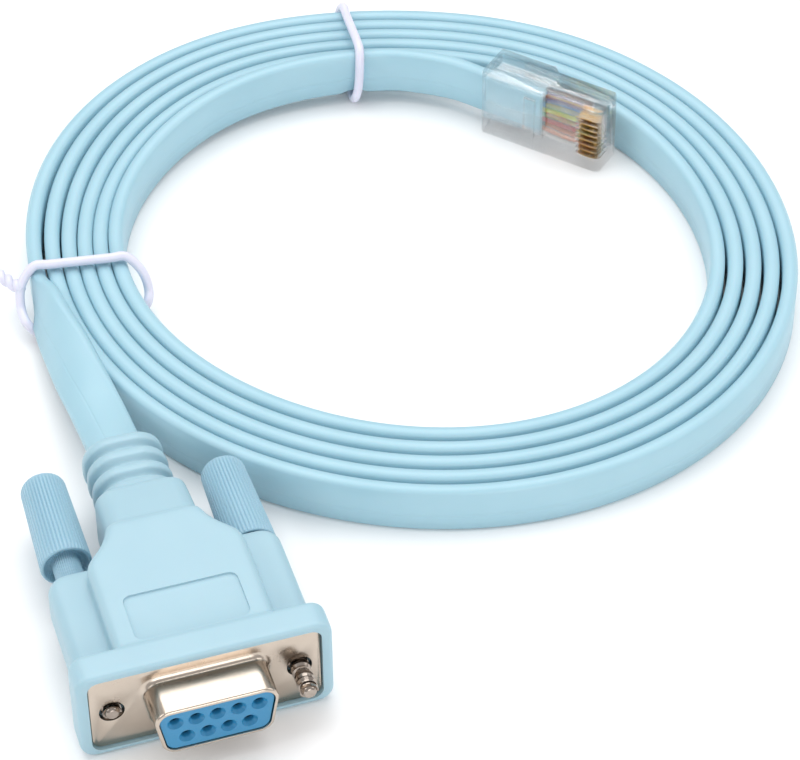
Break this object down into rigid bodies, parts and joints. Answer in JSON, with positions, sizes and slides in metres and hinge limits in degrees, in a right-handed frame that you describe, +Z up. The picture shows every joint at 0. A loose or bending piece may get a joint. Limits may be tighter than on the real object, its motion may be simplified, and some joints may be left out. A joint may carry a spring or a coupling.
{
  "type": "serial console cable",
  "caption": "Flat sky blue console cable wound in a tied coil, with a moulded nine-way D-sub socket with thumbscrews at one end and a clear 8P8C modular plug at the other.",
  "frame": {"origin": "middle of the connector's footprint on the floor it lies on: the box of the D-sub connector without the cable and the plug", "axes": "-Y out of the D-sub connector's mating face, +Y towards the cable's boot, +Z up off the floor, +X towards the coil"},
  "size_m": [0.1257, 0.1418, 0.0148],
  "materials": {
    "cable_pvc": "satin soft PVC jacket, pale sky blue",
    "hood_pvc": "moulded soft PVC, pale sky blue, satin",
    "knob_pvc": "moulded PVC with fine flutes, pale sky blue",
    "shell_nickel": "nickel plated sheet steel, satin",
    "socket_blue": "moulded glass-filled polyester, mid blue",
    "contact_gold": "gold plated",
    "screw_steel": "nickel plated turned steel",
    "tie_coat": "white PVC coat on wire",
    "plug_clear": "clear polycarbonate",
    "wire_brown": "brown insulation",
    "wire_blue": "blue insulation",
    "wire_yellow": "yellow insulation",
    "wire_green": "green insulation",
    "wire_red": "red insulation",
    "wire_black": "black insulation",
    "wire_orange": "orange insulation",
    "wire_white": "white insulation"
  },
  "bodies": {
    "cable": {"connector_hood": "hood_pvc", "connector_shell": "shell_nickel", "socket_insulator": "socket_blue", "socket_contact_1": "contact_gold", "socket_contact_2": "contact_gold", "socket_contact_3": "contact_gold", "socket_contact_4": "contact_gold", "socket_contact_5": "contact_gold", "socket_contact_6": "contact_gold", "socket_contact_7": "contact_gold", "socket_contact_8": "contact_gold", "socket_contact_9": "contact_gold", "cable_coil": "cable_pvc", "cable_to_connector": "cable_pvc", "cable_to_plug": "cable_pvc", "twist_tie_left": "tie_coat", "twist_tie_back": "tie_coat", "plug_body": "plug_clear", "plug_contact_1": "contact_gold", "plug_contact_2": "contact_gold", "plug_contact_3": "contact_gold", "plug_contact_4": "contact_gold", "plug_contact_5": "contact_gold", "plug_contact_6": "contact_gold", "plug_contact_7": "contact_gold", "plug_contact_8": "contact_gold", "plug_wire_1": "wire_white", "plug_wire_2": "wire_orange", "plug_wire_3": "wire_black", "plug_wire_4": "wire_red", "plug_wire_5": "wire_green", "plug_wire_6": "wire_yellow", "plug_wire_7": "wire_blue", "plug_wire_8": "wire_brown"},
    "left_screw": {"thumbscrew_left_screw": "screw_steel"},
    "left_knob": {"thumbscrew_left_knob": "knob_pvc"},
    "right_screw": {"thumbscrew_right_screw": "screw_steel"},
    "right_knob": {"thumbscrew_right_knob": "knob_pvc"},
    "latch": {"plug_latch": "plug_clear"}
  },
  "joints": [
    {"name": "left_screw_slide", "type": "slide", "parent": "cable", "child": "left_screw", "axis": [-0.0183, -0.9998, 0], "range_m": [0, 0.0044]},
    {"name": "left_knob_turn", "type": "hinge", "parent": "left_screw", "child": "left_knob", "pos_m": [-0.01249, -0.0193, 0.0074], "axis": [0.0183, 0.9998, 0], "continuous": true},
    {"name": "right_screw_slide", "type": "slide", "parent": "cable", "child": "right_screw", "axis": [0, 1, 0], "range_m": [0, 0.0018]},
    {"name": "right_knob_turn", "type": "hinge", "parent": "right_screw", "child": "right_knob", "pos_m": [0.01249, -0.0193, 0.0074], "axis": [0, 1, 0], "continuous": true},
    {"name": "latch_press", "type": "hinge", "parent": "cable", "child": "latch", "pos_m": [0.09002, 0.07523, 0.00584], "axis": [0, 0, 1], "range_deg": [0, 6], "stiffness_Nm_per_rad": 0.3}
  ]
}
